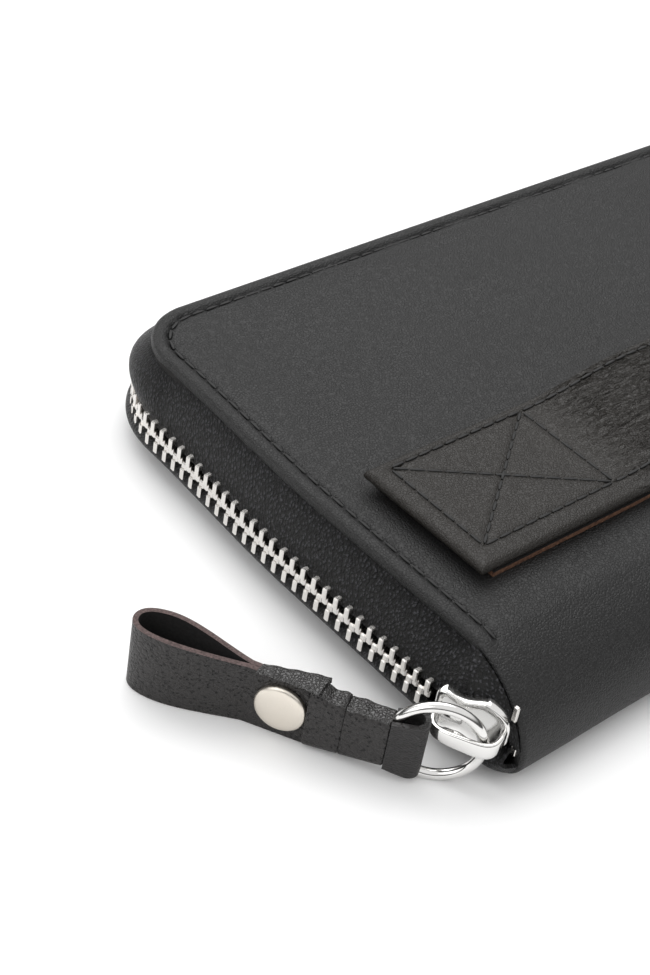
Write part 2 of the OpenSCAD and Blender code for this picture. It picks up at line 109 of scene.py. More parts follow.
def piece(name, points, faces, material, uv=None, sharp=40, parts=()):
    """Puts points in mm and their faces into an object at the origin, outward and smooth.
    parts lists (material, first face) for faces that take another material from there on."""
    mesh = bpy.data.meshes.new(name)
    points = np.asarray(points, float).reshape(-1, 3)
    mesh.from_pydata((points * MM).tolist(), [], faces if isinstance(faces, list) else faces.tolist())
    mesh.materials.append(material)
    index = np.zeros(len(mesh.polygons), np.int32)
    for number, (other, start) in enumerate(parts, 1):
        mesh.materials.append(other)
        index[start:] = number
    mesh.polygons.foreach_set("material_index", index)
    if uv is not None:
        corner = np.zeros(len(mesh.loops), np.int32)
        mesh.loops.foreach_get("vertex_index", corner)
        layer = mesh.uv_layers.new(name="UVMap")
        layer.data.foreach_set("uv", np.asarray(uv, float).reshape(-1, 2)[corner].ravel())
    work = bmesh.new()
    work.from_mesh(mesh)
    bmesh.ops.remove_doubles(work, verts=work.verts, dist=2e-6)
    bmesh.ops.dissolve_degenerate(work, edges=work.edges, dist=1e-7)
    bmesh.ops.recalc_face_normals(work, faces=work.faces)
    work.to_mesh(mesh)
    work.free()
    mesh.shade_smooth()
    mesh.set_sharp_from_angle(angle=np.radians(sharp))
    obj = bpy.data.objects.new(name, mesh)
    bpy.context.scene.collection.objects.link(obj)
    print(name, len(mesh.polygons), "faces")
    return obj


def grid_normals(points):
    """Unit normals of a grid: the cross product of its two directions of change."""
    across = np.cross(np.gradient(points, axis=0), np.gradient(points, axis=1))
    return across / np.maximum(np.linalg.norm(across, axis=-1, keepdims=True), 1e-9)


def slab(points, thickness, uv=None):
    """Two skins half the thickness to each side of a grid, and a wall along its border.
    Returns points, faces, UV in mm and the number of faces before the border wall."""
    rows, cols = points.shape[:2]
    half = np.broadcast_to(np.asarray(thickness, float), (rows, cols))[..., None] / 2
    normals = grid_normals(points)
    skins = np.concatenate(
        [(points + half * normals).reshape(-1, 3), (points - half * normals).reshape(-1, 3)]
    )
    faces = grid_faces(rows, cols)
    count = rows * cols
    index = np.arange(count).reshape(rows, cols)
    border = np.concatenate([index[0, :-1], index[:-1, -1], index[-1, :0:-1], index[:0:-1, 0]])
    after = np.roll(border, -1)
    wall = np.stack([border, after, after + count, border + count], -1)
    if uv is None:
        uv = np.zeros((rows, cols, 2))
    uv = np.concatenate([uv.reshape(-1, 2)] * 2)
    return skins, np.concatenate([faces, faces[:, ::-1] + count, wall]), uv, 2 * len(faces)


def lengths(path):
    """Distance walked along a line of points up to each point."""
    return np.concatenate([[0], np.cumsum(np.linalg.norm(np.diff(path, axis=0), axis=1))])


def even(path, count):
    """The same line with that many evenly spaced points."""
    walked = lengths(path)
    at = np.linspace(0, walked[-1], count)
    return np.stack([np.interp(at, walked, path[:, k]) for k in range(path.shape[1])], -1)


def smooth(path, count):
    """A curve through a few points: cubic Hermite pieces whose slopes join each point's neighbours."""
    path = np.asarray(path, float)
    slope = np.gradient(path, axis=0)
    t = np.linspace(0, len(path) - 1 - 1e-9, 8 * count)
    i = t.astype(int)
    f = (t - i)[:, None]
    a, b, m, n = path[i], path[i + 1], slope[i], slope[i + 1]
    curve = (
        (2 * f**3 - 3 * f**2 + 1) * a + (f**3 - 2 * f**2 + f) * m
        + (3 * f**2 - 2 * f**3) * b + (f**3 - f**2) * n
    )
    return even(curve, count)


def ease(x, low, high):
    """0 up to low, 1 from high, and a smooth S between them."""
    t = np.clip((x - low) / (high - low), 0, 1)
    return t * t * (3 - 2 * t)


def taper(points):
    """A soft wallet is a little narrower at its long zip side: x times 1 - 0.021 ease(y)."""
    points = np.array(points, float).reshape(-1, 3)
    points[:, 0] *= 1 - 0.021 * ease(points[:, 1], -5, 38)
    return points


# %% [markdown]
# ## Materials
# All patterns are procedural and read Object coordinates, in metres, or a piece's own UV map, in
# millimetres. One helper adds a node, one turns sRGB hex colours to linear.


# %% Node helpers
def linear(hex_colour):
    """sRGB hex to linear RGBA."""
    srgb = np.array([int(hex_colour[i : i + 2], 16) / 255 for i in (0, 2, 4)])
    rgb = np.where(srgb <= 0.04045, srgb / 12.92, ((srgb + 0.055) / 1.055) ** 2.4)
    return (*rgb, 1.0)


def add(tree, kind, values=None, links=None, **settings):
    """Adds a node: settings go to its properties, values to its inputs, links join inputs to sockets."""
    node = tree.nodes.new(kind)
    for key, value in settings.items():
        setattr(node, key, value)
    for key, value in (values or {}).items():
        node.inputs[key].default_value = value
    for key, socket in (links or {}).items():
        tree.links.new(socket, node.inputs[key])
    return node


def new_material(name, **values):
    """A material with one Principled shader; returns the material, its tree and the shader."""
    material = bpy.data.materials.new(name)
    material.use_nodes = True
    tree = material.node_tree
    shader = tree.nodes["Principled BSDF"]
    for key, value in values.items():
        shader.inputs[key.replace("_", " ")].default_value = value
    return material, tree, shader


WRINKLE_START, WRINKLE_FULL = 0.054, 0.044  # metres from the strap's middle: first wrinkles, full wrinkles
WRINKLE_POLISH = 0.52  # share of the leather's roughness that is left where hands have polished it


def wrinkles(tree, below, depth):
    """Short wandering wrinkles across a strap that is bent in use: noise squeezed along one slanting
    way, faded in past the sewn box by the distance from the strap's middle."""
    place = add(tree, "ShaderNodeTexCoord").outputs["Object"]
    turned = add(
        tree, "ShaderNodeMapping", {"Rotation": (0, 0, 0.9), "Scale": (350, 1100, 1)}, {"Vector": place}
    )
    lines = add(
        tree, "ShaderNodeTexNoise", {"Scale": 1.0, "Detail": 3.0, "Distortion": 0.8},
        {"Vector": turned.outputs[0]}
    )
    away = add(tree, "ShaderNodeSeparateXYZ", None, {"Vector": place}).outputs["X"]
    away = add(tree, "ShaderNodeMath", None, {0: away}, operation="ABSOLUTE").outputs[0]
    loose = add(
        tree, "ShaderNodeMapRange", {"From Min": WRINKLE_START, "From Max": WRINKLE_FULL}, {"Value": away}
    ).outputs["Result"]
    height = add(
        tree, "ShaderNodeMath", None, {0: lines.outputs["Fac"], 1: loose}, operation="MULTIPLY"
    ).outputs[0]
    folded = add(
        tree, "ShaderNodeBump", {"Strength": 1.0, "Distance": depth * MM}, {
            "Height": height, "Normal": below.outputs["Normal"]
        }
    )
    return folded, loose


def leather(
    name, dark, light, rough, grain_mm, grain_depth, pits=0.0, pit_mm=0.5, crease=0.0, worn=0.0,
    stretch=(1, 1, 1), gloss=0.38
):
    """Chrome-tanned leather with a plated finish. Kip grain is small cells that a noise bends; pits
    are the follicle holes; crease adds the soft folds of leather that has been bent."""
    material, tree, shader = new_material(name, IOR=1.5, Specular_IOR_Level=gloss)
    place = add(tree, "ShaderNodeTexCoord").outputs["Object"]
    place = add(tree, "ShaderNodeMapping", {"Scale": stretch}, {"Vector": place}).outputs["Vector"]
    bend = add(tree, "ShaderNodeTexNoise", {"Scale": 900.0, "Detail": 3.0}, {"Vector": place})
    place_bent = add(
        tree, "ShaderNodeVectorMath", {"Scale": grain_mm * MM * 0.8}, {0: bend.outputs["Color"]}, operation="SCALE"
    ).outputs["Vector"]
    place_bent = add(
        tree, "ShaderNodeVectorMath", None, {0: place, 1: place_bent}, operation="ADD"
    ).outputs["Vector"]
    cells = add(
        tree, "ShaderNodeTexVoronoi", {"Scale": 1 / (grain_mm * MM)}, {"Vector": place_bent}, feature="DISTANCE_TO_EDGE"
    )
    height = add(
        tree,
        "ShaderNodeMapRange",
        {"From Max": 0.25, "To Min": -1.0, "To Max": 0.0},
        {"Value": cells.outputs["Distance"]},
        interpolation_type="SMOOTHSTEP",
    ).outputs["Result"]
    tint = add(tree, "ShaderNodeTexNoise", {"Scale": 55.0, "Detail": 4.0}, {"Vector": place}).outputs["Fac"]
    colour = add(
        tree,
        "ShaderNodeMix",
        None,
        {"Factor": tint},
        data_type="RGBA",
    )
    colour.inputs[6].default_value, colour.inputs[7].default_value = linear(dark), linear(light)
    colour_out = colour.outputs[2]
    if pits:
        dots = add(tree, "ShaderNodeTexVoronoi", {"Scale": 1 / (pit_mm * MM)}, {"Vector": place_bent})
        hole = add(
            tree,
            "ShaderNodeMapRange",
            {"From Min": 0.16, "From Max": 0.34, "To Min": 1.0, "To Max": 0.0},
            {"Value": dots.outputs["Distance"]},
        ).outputs["Result"]
        # painted shade: the pits' colour is mixed towards near black inside the follicle holes
        shaded = add(tree, "ShaderNodeMix", data_type="RGBA")
        shaded.inputs[7].default_value = linear("0c0b0b")
        tree.links.new(colour_out, shaded.inputs[6])
        amount = add(tree, "ShaderNodeMath", {1: pits}, {0: hole}, operation="MULTIPLY").outputs[0]
        tree.links.new(amount, shaded.inputs[0])
        colour_out = shaded.outputs[2]
        height = add(tree, "ShaderNodeMath", None, {0: height, 1: amount}, operation="SUBTRACT").outputs[0]
    tree.links.new(colour_out, shader.inputs["Base Color"])
    fine = add(tree, "ShaderNodeBump", {"Strength": 1.0, "Distance": grain_depth * MM}, {"Height": height})
    if crease:
        folds = add(
            tree,
            "ShaderNodeTexNoise",
            {"Scale": 160.0, "Detail": 3.0, "Distortion": 0.6},
            {"Vector": place},
            noise_type="RIDGED_MULTIFRACTAL",
        )
        fine = add(
            tree,
            "ShaderNodeBump",
            {"Strength": 1.0, "Distance": crease * MM},
            {"Height": folds.outputs["Fac"], "Normal": fine.outputs["Normal"]},
        )
    if worn:
        fine, loose = wrinkles(tree, fine, worn)
    tree.links.new(fine.outputs["Normal"], shader.inputs["Normal"])
    spread = add(
        tree, "ShaderNodeMapRange", {"To Min": rough - 0.05, "To Max": rough + 0.07}, {"Value": tint}
    ).outputs["Result"]
    if worn:
        polish = add(
            tree, "ShaderNodeMapRange", {"To Min": 1.0, "To Max": WRINKLE_POLISH}, {"Value": loose}
        ).outputs["Result"]
        spread = add(tree, "ShaderNodeMath", None, {0: spread, 1: polish}, operation="MULTIPLY").outputs[0]
    tree.links.new(spread, shader.inputs["Roughness"])
    return material


def weave(name, dark, light, thread_mm):
    """Knitted tape: slanting beads of thread in the UV map, uneven and a little fuzzy. Its colour follows the height:
    light on the bead crowns as painted glints, near black between the beads as painted shade.
    """
    material, tree, shader = new_material(name, Roughness=0.42, Specular_IOR_Level=0.35)
    place = add(tree, "ShaderNodeUVMap").outputs["UV"]
    wobble = add(
        tree, "ShaderNodeTexNoise", {"Scale": 0.7, "Detail": 2.0}, {"Vector": place}
    ).outputs["Color"]
    wobble = add(
        tree, "ShaderNodeVectorMath", {"Scale": 0.6}, {0: wobble}, operation="SCALE"
    ).outputs["Vector"]
    place = add(tree, "ShaderNodeVectorMath", None, {0: place, 1: wobble}, operation="ADD").outputs["Vector"]
    slant = add(
        tree, "ShaderNodeMapping", {"Rotation": (0, 0, 0.6), "Scale": (1.5, 1, 1)}, {"Vector": place}
    ).outputs[0]
    beads = add(tree, "ShaderNodeTexVoronoi", {"Scale": 1 / thread_mm, "Randomness": 0.75}, {"Vector": slant})
    fuzz = add(tree, "ShaderNodeTexNoise", {"Scale": 5.0, "Detail": 3.0}, {"Vector": place}).outputs["Fac"]
    height = add(
        tree, "ShaderNodeMath", None, {0: fuzz, 1: beads.outputs["Distance"]}, operation="SUBTRACT"
    ).outputs[0]
    share = add(
        tree, "ShaderNodeMapRange", {"From Min": 0.14, "From Max": 0.36}, {"Value": height}
    ).outputs["Result"]
    # painted glints and painted shade: light colour on the bead crowns, near black in the hollows between the beads
    colour = add(tree, "ShaderNodeMix", None, {0: share}, data_type="RGBA")
    colour.inputs[6].default_value, colour.inputs[7].default_value = linear(dark), linear(light)
    tree.links.new(colour.outputs[2], shader.inputs["Base Color"])
    bump = add(tree, "ShaderNodeBump", {"Strength": 1.0, "Distance": 0.5 * MM}, {"Height": height})
    tree.links.new(bump.outputs["Normal"], shader.inputs["Normal"])
    return material


def metal(name, colour, rough, wear_mm=2.0, depth=0.004):
    """Plated metal: a mirror with faint casting waves and a little change of gloss."""
    material, tree, shader = new_material(name, Metallic=1.0)
    shader.inputs["Base Color"].default_value = linear(colour)
    place = add(tree, "ShaderNodeTexCoord").outputs["Object"]
    noise = add(
        tree, "ShaderNodeTexNoise", {"Scale": 1 / (wear_mm * MM), "Detail": 3.0}, {"Vector": place}
    ).outputs["Fac"]
    gloss = add(tree, "ShaderNodeMapRange", {"To Min": rough * 0.7, "To Max": rough * 1.5}, {"Value": noise})
    tree.links.new(gloss.outputs["Result"], shader.inputs["Roughness"])
    bump = add(tree, "ShaderNodeBump", {"Strength": 1.0, "Distance": depth * MM}, {"Height": noise})
    tree.links.new(bump.outputs["Normal"], shader.inputs["Normal"])
    return material


def fibre(name, dark, light, rough, grain_mm, depth):
    """Matt fibrous stuff, such as a raw leather edge, board, lining or waxed thread: two tones of noise."""
    material, tree, shader = new_material(name, Roughness=rough)
    place = add(tree, "ShaderNodeTexCoord").outputs["Object"]
    noise = add(
        tree, "ShaderNodeTexNoise", {"Scale": 1 / (grain_mm * MM), "Detail": 4.0}, {"Vector": place}
    ).outputs["Fac"]
    share = add(
        tree, "ShaderNodeMapRange", {"From Min": 0.3, "From Max": 0.7}, {"Value": noise}
    ).outputs["Result"]
    colour = add(tree, "ShaderNodeMix", None, {0: share}, data_type="RGBA")
    colour.inputs[6].default_value, colour.inputs[7].default_value = linear(dark), linear(light)
    tree.links.new(colour.outputs[2], shader.inputs["Base Color"])
    bump = add(tree, "ShaderNodeBump", {"Strength": 1.0, "Distance": depth * MM}, {"Height": noise})
    tree.links.new(bump.outputs["Normal"], shader.inputs["Normal"])
    return material


# %% The wallet's materials
cover_leather = leather("plated cow leather, fine kip grain", "1a1a1a", "202020", 0.46, 0.55, 0.07)
strap_leather = leather(
    "strap leather, fine grain", "1e1b18", "26231f", 0.42, 0.5, 0.06, worn=1.5, gloss=0.38
)
tab_leather = leather(
    "tab leather, pebbled with pits", "252323", "302e2d", 0.42, 0.9, 0.12, pits=1.3, pit_mm=0.75
)
fold_leather = leather(
    "folded leather, fine creases along the bend", "262525", "302e2e", 0.4, 0.5, 0.12, stretch=(0.4, 0.4, 1.6)
)
crackled_leather = leather(
    "crackled shiny leather", "1b1a19", "2a2827", 0.24, 0.55, 0.12, crease=0.12, gloss=0.8
)
raw_edge = fibre("raw leather edge, mauve brown", "3c3130", "6b5a58", 0.85, 0.35, 0.05)
raw_tan_edge = fibre("raw leather edge, tan", "4a2f22", "835f49", 0.85, 0.4, 0.06)
suede = fibre("flesh side, black", "121111", "201e1e", 0.95, 0.5, 0.05)
tape_weave = weave("woven polyester zip tape", "020202", "404044", 0.8)
tooth_metal = metal("bright nickel on brass teeth", "d9d6d2", 0.2, 1.2, 0.01)
slider_metal = metal("polished nickel casting", "e4e3e1", 0.09, 2.5, 0.008)
rivet_metal = metal("satin nickel cap", "e1dacf", 0.3, 0.3, 0.002)
thread = fibre("waxed black thread", "070707", "161616", 0.6, 0.15, 0.03)
lining = fibre("black woven lining", "131313", "1f1e1e", 0.9, 0.4, 0.04)
inner_leather = leather("thin inner leather", "1d1c1c", "272525", 0.5, 0.7, 0.03)
# painted shade: the board is black so that the sliver of it between the leather's rim and the tape reads as shadow
board_black_as_gap_shade = fibre("stiffening board, black as painted gap shade", "151414", "211f1e", 0.95, 0.8, 0.03)
print(len(bpy.data.materials), "materials")

# %% [markdown]
# ## Covers and spine
# The real outer leather is one piece that is turned in along its edge, sewn, and bent softly round
# the spine. Here each half is one skin: a section curve from the hinge line round the spine and out
# to the long side, carried along X. A height rule measured from the leather's outline gives the
# rounded edge, the sewn groove and the padding inside it.


# %% Section curves
SPINE_Y = -53.2
FRONT_BEND = 1.82


def front_section(count=200):
    """Quarter superellipse |y/15.2|^n + |z/14.2|^n = 1 from the hinge line to the roll's top, then level."""
    a = np.linspace(0, np.pi / 2, count)
    power = 2 / FRONT_BEND
    y = SPINE_Y + 15.2 * (1 - np.cos(a) ** power)
    z = HINGE_Z + (TOP_Z - HINGE_Z) * np.sin(a) ** power
    return np.concatenate([np.stack([y, z], -1), [[COVER_Y, TOP_Z]]])


def back_section(count=60):
    """Quarter ellipse from the hinge line down to the table, then level."""
    a = np.linspace(0, np.pi / 2, count)
    y = SPINE_Y + 4.4 * (1 - np.cos(a))
    z = HINGE_Z * (1 - np.sin(a))
    return np.concatenate([np.stack([y, z], -1), [[COVER_Y, 0]]])


def at_length(section, s):
    """Points and outward normals of a section curve at distance s from the hinge line."""
    walked = lengths(section)
    dense = np.linspace(0, walked[-1], 1200)
    line = np.stack([np.interp(dense, walked, section[:, k]) for k in (0, 1)], -1)
    along = np.gradient(line, axis=0)
    along /= np.linalg.norm(along, axis=1, keepdims=True)
    out = np.stack([-along[:, 1], along[:, 0]], -1)
    pick = lambda table: np.stack([np.interp(s, dense, table[:, k]) for k in (0, 1)], -1)
    return pick(line), pick(out)


EDGE_STEPS = np.concatenate(
    [[0, 0.02, 0.08, 0.18, 0.32, 0.5, 0.75], np.arange(1, 6, 0.2), np.arange(6, 12.1, 0.5)]
)
STITCH_IN = 3.1
STITCH_PITCH = 3.1
STITCH_Y0 = -41.0


def shell(section, bulge, side):
    """Grid over distance s along the section and x across. Distance d to the outline sets the height:
    a quarter round at the edge, a groove at the stitches, padding inside; two thicknesses where the
    edge is turned in."""
    walked = lengths(section)
    total = walked[-1]
    to_corner = total - COVER_R
    s = np.concatenate(
        [np.linspace(0, 26, 53), np.linspace(26, to_corner, 60)[1:], (total - EDGE_STEPS[::-1])[1:]]
    )
    line, out = at_length(section, s)
    out = out * side
    over = np.clip(s - to_corner, 0, COVER_R)
    half = COVER_X - COVER_R + np.sqrt(np.maximum(COVER_R**2 - over**2, 0))
    middle = np.linspace(0, 1, 62)[1:-1]
    inner = half[:, None] - EDGE_STEPS[-1]
    x = np.concatenate(
        [-half[:, None] + EDGE_STEPS, -inner + 2 * inner * middle, (half[:, None] - EDGE_STEPS)[:, ::-1]], 1
    )
    s = np.broadcast_to(s[:, None], x.shape)
    in_corner = (np.abs(x) > COVER_X - COVER_R) & (s > to_corner)
    round_d = COVER_R - np.hypot(np.abs(x) - COVER_X + COVER_R, s - to_corner)
    d = np.where(in_corner, round_d, np.minimum(COVER_X - np.abs(x), total - s))
    d = np.maximum(d, 0)
    edge_r = 0.8
    drop = edge_r - np.sqrt(np.maximum(edge_r**2 - np.maximum(edge_r - d, 0) ** 2, 0))
    y = np.broadcast_to(line[:, :1], x.shape)
    sewn = ease(y, STITCH_Y0 - 1.5, STITCH_Y0 + 0.5)
    turn = np.arctan2(s - to_corner, np.abs(x) - COVER_X + COVER_R)
    along = np.where(in_corner, turn * (COVER_R - STITCH_IN), np.where(COVER_X - np.abs(x) < total - s, y, x))
    pull = 0.75 + 0.25 * np.cos(2 * np.pi * along / STITCH_PITCH)
    groove = 0.7 * np.exp(-(((d - STITCH_IN) / 0.5) ** 2)) * sewn * pull
    rim = 0.28 * np.exp(-(((d - 1.5) / 1.0) ** 2)) * sewn
    pad = 0.16 * ease(d, 3.6, 6.5) * sewn
    drift = 0.10 * np.sin(x / 9.1 + 0.7 * np.sin(s / 7.3)) + 0.09 * np.sin(s / 6.3 + x / 17.0 + 1.1)
    drift = drift * ease(d, 3, 12)
    height = -drop - groove + rim + pad + drift + bulge(x, s, total)
    if side < 0:
        height = np.minimum(height, 0)
    floor = -2.0 + 0.8 * ease(d, 3.5, 6) + drop
    base = np.stack([x, y, np.broadcast_to(line[:, 1:], x.shape)], -1)
    normal = np.stack(
        [np.zeros_like(x), np.broadcast_to(out[:, :1], x.shape), np.broadcast_to(out[:, 1:], x.shape)], -1
    )
    top = base + height[..., None] * normal
    under = base + floor[..., None] * normal
    return top, under


def shell_piece(name, section, bulge, side):
    """Joins the outer and inner skins of a shell along their borders."""
    top, under = shell(section, bulge, side)
    loop = np.concatenate([top, under[:, ::-1]], 1)
    rows, cols = loop.shape[:2]
    faces = grid_faces(rows, cols, wrap_cols=True)
    i = np.arange(cols // 2 - 1)
    ends = [
        np.stack([a + i, a + i + 1, a + cols - 2 - i, a + cols - 1 - i], -1) for a in (0, (rows - 1) * cols)
    ]
    return piece(name, taper(loop), np.concatenate([faces, *ends]), cover_leather, sharp=60)


def front_bulge(x, s, total):
    """A slow swell towards the cover's middle, less where the strap's end pulls the spine in."""
    y = s - total + COVER_Y
    swell = 0.25 * np.exp(-((x / 70) ** 2)) * ease(y, -40, -10)
    slack = 0.35 * np.exp(-(((x + 62) / 9) ** 2)) * np.exp(-(((y + 38) / 7) ** 2))
    return swell - slack


# %% Front and back skins
front_shell = shell_piece("front_shell", front_section(), front_bulge, 1)
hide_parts("front_cover", "spine_front")
back_shell = shell_piece("back_shell", back_section(), lambda x, s, total: 0.0 * x, -1)
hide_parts("back_cover", "spine_back")

# %% [markdown]
# ## Thread
# A lock stitch shows as short bars that dip into a hole at both ends. Each bar is a lying spindle,
# and one small spindle is copied to every place along a seam by a table of local frames.


# %% Copies of one shape along a seam
def spindle(long, wide, high, around=8, stations=5):
    """x = long/2 * t, and an ellipse of radii wide/2 and high/2 times sqrt(1 - 0.8 t^2) about it."""
    t = np.linspace(-1, 1, stations)[:, None]
    a = np.linspace(0, 2 * np.pi, around, endpoint=False)[None, :]
    r = np.sqrt(1 - 0.8 * t**2)
    points = np.stack([long / 2 * t + 0 * a, wide / 2 * r * np.cos(a), high / 2 * r * np.sin(a)], -1)
    return points.reshape(-1, 3), tube_faces(stations, around)


def copies(points, faces, origins, along, up):
    """The same shape once per origin, its X turned to along and its Z to up."""
    along = along / np.linalg.norm(along, axis=-1, keepdims=True)
    side = np.cross(up, along)
    side /= np.linalg.norm(side, axis=-1, keepdims=True)
    up = np.cross(along, side)
    placed = (
        origins[:, None]
        + points[None, :, :1] * along[:, None]
        + points[None, :, 1:2] * side[:, None]
        + points[None, :, 2:] * up[:, None]
    )
    shift = len(points)
    return placed.reshape(-1, 3), [
        [i + k * shift for i in face] for k in range(len(origins)) for face in faces
    ]


def seam(path, pitch):
    """Middles and directions of the stitches that fill a line of points."""
    count = max(2, round(lengths(path)[-1] / pitch))
    ends = even(path, count + 1)
    return (ends[1:] + ends[:-1]) / 2, ends[1:] - ends[:-1]


def u_path(walk, half, corner_r, y0, y1, inset, stations=None):
    """The wallet's U: a centre slides up the left side, along the long side and down the right, and
    the point stands corner_r - inset from it, at an angle that turns a quarter at each corner.
    stations are another U's knots: walk then counts along that U, and both turn their corners together."""
    leg, arc, top = y1 - y0, np.pi / 2 * corner_r, 2 * (half - corner_r)
    knots = np.cumsum([0, leg, arc, top, arc, leg])
    walk = walk if stations is None else np.interp(walk, stations, knots)
    c = half - corner_r
    angle = np.interp(walk, knots, np.pi * np.array([1, 1, 0.5, 0.5, 0, 0]))
    out = np.stack([np.cos(angle), np.sin(angle)], -1)
    centre = np.stack(
        [np.interp(walk, knots, [-c, -c, -c, c, c, c]), np.interp(walk, knots, [y0, y1, y1, y1, y1, y0])], -1
    )
    return centre + (corner_r - inset) * out, out, knots


# %% Thread along the covers' edge
cover_total = u_path(np.zeros(1), COVER_X, COVER_R, STITCH_Y0, COVER_Y - COVER_R, 0)[2][-1]
edge_line = u_path(
    np.linspace(0, cover_total, 900), COVER_X, COVER_R, STITCH_Y0, COVER_Y - COVER_R, STITCH_IN
)[0]
front_line = front_section()
bar = spindle(2.5, 0.62, 0.5)
for side, name, node in (
    (1, "front_edge_thread", "edge_stitching_front"), (-1, "back_edge_thread", "edge_stitching_back")
):
    if side > 0:
        height = np.interp(edge_line[:, 0] * 0 + edge_line[:, 1], front_line[:, 0], front_line[:, 1]) - 0.2
    else:
        height = np.full(len(edge_line), 0.28)
    middles, along = seam(np.column_stack([edge_line, height]), STITCH_PITCH)
    points, faces = copies(*bar, middles, along, np.tile([0.0, 0, side], (len(middles), 1)))
    made = piece(name, taper(points), faces, thread)
    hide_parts(node)
    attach(made, "front" if side > 0 else "back")

# %% [markdown]
# ## Zip tape
# The tape is woven, and it is sewn behind the leather's edge. Between that edge and the chain it
# leans out and swells a little. At the spine end it turns in with the slider and follows the
# leather's edge round the spine. So it is ruled between two curves, one at the edge, one at the chain.


# %% Both tapes
chain_knots = u_path(np.zeros(1), END_X, CHAIN_R, RUN_Y0, RUN_Y1, 0)[2]
chain_total = chain_knots[-1]
TUCK = 0.9
TAPE_T = 0.7


def tape_grid(side):
    """Edge curve and chain curve joined by straight rules plus a swell that goes with sin(pi v),
    more below."""
    walk = np.linspace(0, chain_total, 420)
    edge = u_path(walk, COVER_X, COVER_R, RUN_Y0, COVER_Y - COVER_R, TUCK, chain_knots)[0]
    bead, out, _ = u_path(walk, END_X, CHAIN_R, RUN_Y0, RUN_Y1, 0.1)
    edge_z = TOP_Z - 1.6 if side > 0 else 1.6
    edge = np.column_stack([edge, np.full(len(walk), edge_z)])
    bead = np.column_stack([bead, np.full(len(walk), CHAIN_Z + 1.5 * side)])
    section = front_section() if side > 0 else back_section()
    start = np.interp(RUN_Y0, section[:, 0], lengths(section))
    s = np.linspace(start, 2.0 if side > 0 else 1.0, 36)
    line, normal = at_length(section, s)
    flush = ease(start - s, 0, 5)[:, None]
    line = line - (1.6 - 0.8 * flush) * side * normal
    in_x = COVER_X - TUCK + (TUCK + 0.1) * flush[:, 0]
    turned_in = smooth(
        [[99.9, RUN_Y0], [99.2, -41.0], [97.9, -44.3], [96.5, -47.2], [95.9, -49.4], [95.8, -50.8]], 36
    )
    fall = np.linspace(0, 1, 36)
    chain_z = CHAIN_Z + side * (1.5 + 0.5 * fall) - 1.5 * ease(fall, 0.6, 1.0) * (side > 0)
    grids = []
    for sign in (-1, 1):
        tail_edge = np.column_stack([sign * in_x, line])
        tail_bead = np.column_stack([sign * turned_in[:, 0], turned_in[:, 1], chain_z])
        grids.append((tail_edge, tail_bead))
    (left_edge, left_bead), (right_edge, right_bead) = grids
    edge = np.concatenate([left_edge[:0:-1], edge, right_edge[1:]])
    bead = np.concatenate([left_bead[:0:-1], bead, right_bead[1:]])
    out3 = np.zeros((len(edge), 3))
    out3[35:-35, :2] = out
    out3[:35], out3[-35:] = [-1, 0, 0], [1, 0, 0]
    v = np.linspace(0, 1, 17)
    grid = bead[:, None] + v[None, :, None] * (edge - bead)[:, None]
    corner = 2 * np.abs(out3[:, 0] * out3[:, 1])
    swell = np.where(side > 0, 0.8 + 1.9 * corner, 2.6)
    return grid + (swell[:, None] * np.sin(np.pi * v))[..., None] * out3[:, None]


for side, name in ((1, "zip_tape_upper"), (-1, "zip_tape_lower")):
    grid = tape_grid(side)
    along = lengths(grid[:, 0])[:, None] + 0 * grid[..., 0]
    across = lengths(grid[200])[None, :] + 0 * grid[..., 0]
    points, faces, uv, _ = slab(grid, TAPE_T, np.stack([along, across], -1))
    made = piece(name, taper(points), faces, tape_weave, uv)
    if side > 0:
        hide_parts("zip_tape_front", "zip_tape_front_run")
        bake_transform(made)
    else:
        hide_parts("zip_tape_back", "zip_tape_back_run")
        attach(made, "back")
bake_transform(front_shell)
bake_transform(back_shell)

# %% [markdown]
# ## Zip teeth
# Each tooth is a leg that clamps the tape's bead and a narrower head that meshes with the other
# row. Both are blocks with chamfered edges. A row is one tooth copied at the real pitch.


# %% Chamfered blocks
def block(low, high, chamfer):
    """Four rings of eight corners each: a box whose edges are cut back by the chamfer."""
    low, high = np.array(low, float), np.array(high, float)
    rings = []
    for z, inset in ((low[2], chamfer), (low[2] + chamfer, 0), (high[2] - chamfer, 0), (high[2], chamfer)):
        x0, y0 = low[:2] + inset
        x1, y1 = high[:2] - inset
        k = chamfer
        rings.append(
            [[x0 + k, y0, z], [x1 - k, y0, z], [x1, y0 + k, z], [x1, y1 - k, z],
             [x1 - k, y1, z], [x0 + k, y1, z], [x0, y1 - k, z], [x0, y0 + k, z]]
        )
    return np.array(rings).reshape(-1, 3), tube_faces(4, 8)


def join(*shapes):
    """Several shapes as one list of points and faces."""
    points, faces = [], []
    for more, rings in shapes:
        shift = sum(len(p) for p in points)
        faces += [[i + shift for i in face] for face in rings]
        points.append(np.asarray(more, float).reshape(-1, 3))
    return np.concatenate(points), faces


PITCH = 2.6
tooth = join(
    block([-0.5, -0.2, 0.6], [0.5, 1.1, 2.8], 0.16), block([-0.62, -0.8, -0.55], [0.62, 0.8, 1.0], 0.24)
)
for side, name, nodes in (
    (1, "teeth_upper", ("zip_teeth_front", "zip_teeth_front_run")),
    (-1, "teeth_lower", ("zip_teeth_back", "zip_teeth_back_run")),
):
    count = int(chain_total / PITCH)
    walk = (np.arange(count) + (0.3 if side > 0 else 0.8)) * PITCH
    place, out, _ = u_path(walk, END_X, CHAIN_R, RUN_Y0, RUN_Y1, 0)
    origins = np.column_stack([place, np.full(count, CHAIN_Z)])
    tangent = np.column_stack([out[:, 1], -out[:, 0], np.zeros(count)])
    points, faces = copies(*tooth, origins, tangent * side, np.tile([0.0, 0, side], (count, 1)))
    made = piece(name, taper(points), faces, tooth_metal, sharp=25)
    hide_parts(*nodes)
    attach(made, "front" if side > 0 else "back")

